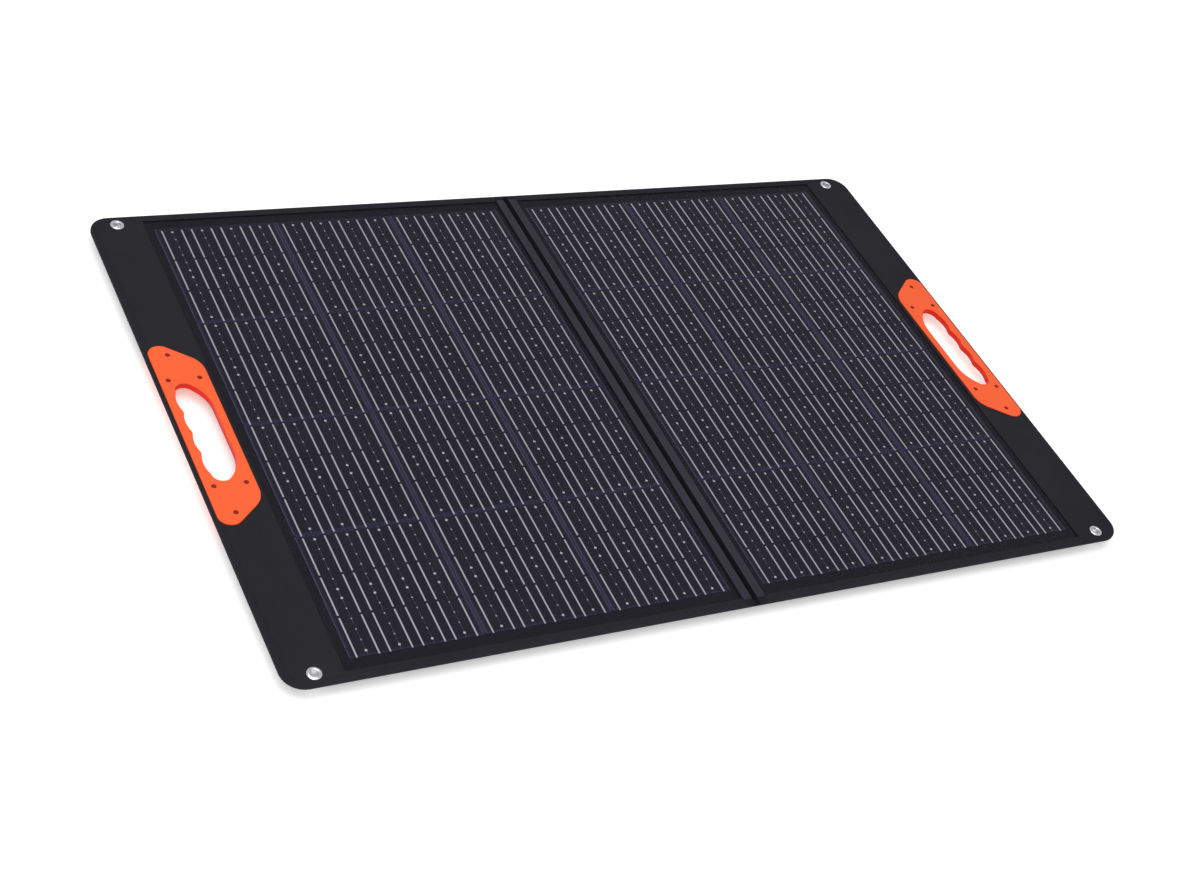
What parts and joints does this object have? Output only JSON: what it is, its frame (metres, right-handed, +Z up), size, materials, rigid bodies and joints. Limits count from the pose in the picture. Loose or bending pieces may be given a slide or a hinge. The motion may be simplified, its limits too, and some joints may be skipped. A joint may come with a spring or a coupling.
{
  "type": "folding solar panel",
  "caption": "Flat fabric-covered solar panel that folds in half like a book, with moulded carrying grips, corner eyelets, fold-out stands, an output box and a zip pocket on its back.",
  "frame": {"origin": "middle of the footprint, on the surface that the spread-out panel lies on", "axes": "+X along the long side across the fold, +Y towards the edge that the stands hinge near, +Z up out of the cells"},
  "size_m": [0.838, 0.54, 0.0167],
  "materials": {
    "cover_fabric": "fine plain-weave polyester, matt",
    "webbing": "close-woven tape",
    "hinge_web": "flexible filler web",
    "core_board": "plain board",
    "backsheet": "satin black sheet",
    "cell": "dark blue-black silicon under clear resin",
    "ribbon": "tinned ribbon",
    "front_film": "clear fine-textured film",
    "handle": "satin moulded, soft touch",
    "screw": "blackened steel",
    "magnet": "plated",
    "eyelet": "bright plated",
    "snap": "dark plated",
    "box_plastic": "fine spark texture",
    "circuit_board": "solder mask",
    "socket_shell": "plated",
    "port_rubber": "matt",
    "lens": "clear green",
    "pocket_fabric": "plain-weave polyester",
    "zip_plastic": "coil chain",
    "zip_metal": "black"
  },
  "bodies": {
    "left_half": {"left_back_cover": "cover_fabric", "left_front_cover": "cover_fabric", "left_edge_tape": "cover_fabric", "left_core_board": "core_board", "left_backsheet": "backsheet", "left_cells": "cell", "left_ribbons": "ribbon", "left_front_film": "front_film", "left_hinge_web": "hinge_web", "left_hinge_strip": "webbing", "left_flap_stiffener": "core_board", "left_magnets": "magnet", "left_handle_front": "handle", "left_handle_back": "handle", "left_handle_screws": "screw", "left_grommets": "eyelet", "left_grommet_washers": "eyelet", "left_snap_socket": "snap", "left_stand_hinge_tape": "webbing", "output_box_base": "box_plastic", "output_box_lid": "box_plastic", "output_box_screws": "screw", "controller_board": "circuit_board", "usb_sockets": "socket_shell", "status_lens": "lens", "lead_gland": "port_rubber"},
    "right_half": {"right_back_cover": "cover_fabric", "right_front_cover": "cover_fabric", "right_edge_tape": "cover_fabric", "right_core_board": "core_board", "right_backsheet": "backsheet", "right_cells": "cell", "right_ribbons": "ribbon", "right_front_film": "front_film", "right_hinge_web": "hinge_web", "right_hinge_strip": "webbing", "right_flap_stiffener": "core_board", "right_magnets": "magnet", "right_handle_front": "handle", "right_handle_back": "handle", "right_handle_screws": "screw", "right_grommets": "eyelet", "right_grommet_washers": "eyelet", "right_snap_socket": "snap", "right_stand_hinge_tape": "webbing", "pocket": "pocket_fabric", "junction_box": "box_plastic", "zip_tape": "webbing", "zip_chain": "zip_plastic"},
    "left_stand": {"left_stand_board": "core_board", "left_stand_cover": "cover_fabric", "left_stand_snap": "snap", "left_stand_tab": "webbing"},
    "right_stand": {"right_stand_board": "core_board", "right_stand_cover": "cover_fabric", "right_stand_snap": "snap", "right_stand_tab": "webbing"},
    "port_flap": {"port_cover": "port_rubber"},
    "zip_runner": {"zip_slider": "zip_metal", "zip_pull": "webbing"}
  },
  "joints": [
    {"name": "fold", "type": "hinge", "parent": "left_half", "child": "right_half", "pos_m": [0, 0, 0.01685], "axis": [0, -1, 0], "range_deg": [0, 179.9]},
    {"name": "left_stand_swing", "type": "hinge", "parent": "left_half", "child": "left_stand", "pos_m": [-0.27, 0.171, 0.0111], "axis": [1, 0, 0], "range_deg": [0, 60]},
    {"name": "right_stand_swing", "type": "hinge", "parent": "right_half", "child": "right_stand", "pos_m": [0.27, 0.171, 0.0111], "axis": [1, 0, 0], "range_deg": [0, 60]},
    {"name": "port_cover_swing", "type": "hinge", "parent": "left_half", "child": "port_flap", "pos_m": [-0.103, -0.0415, 0.01], "axis": [-1, 0, 0], "range_deg": [0, 80]},
    {"name": "zip_slide", "type": "slide", "parent": "right_half", "child": "zip_runner", "axis": [-1, 0, 0], "range_m": [0, 0.102]}
  ]
}
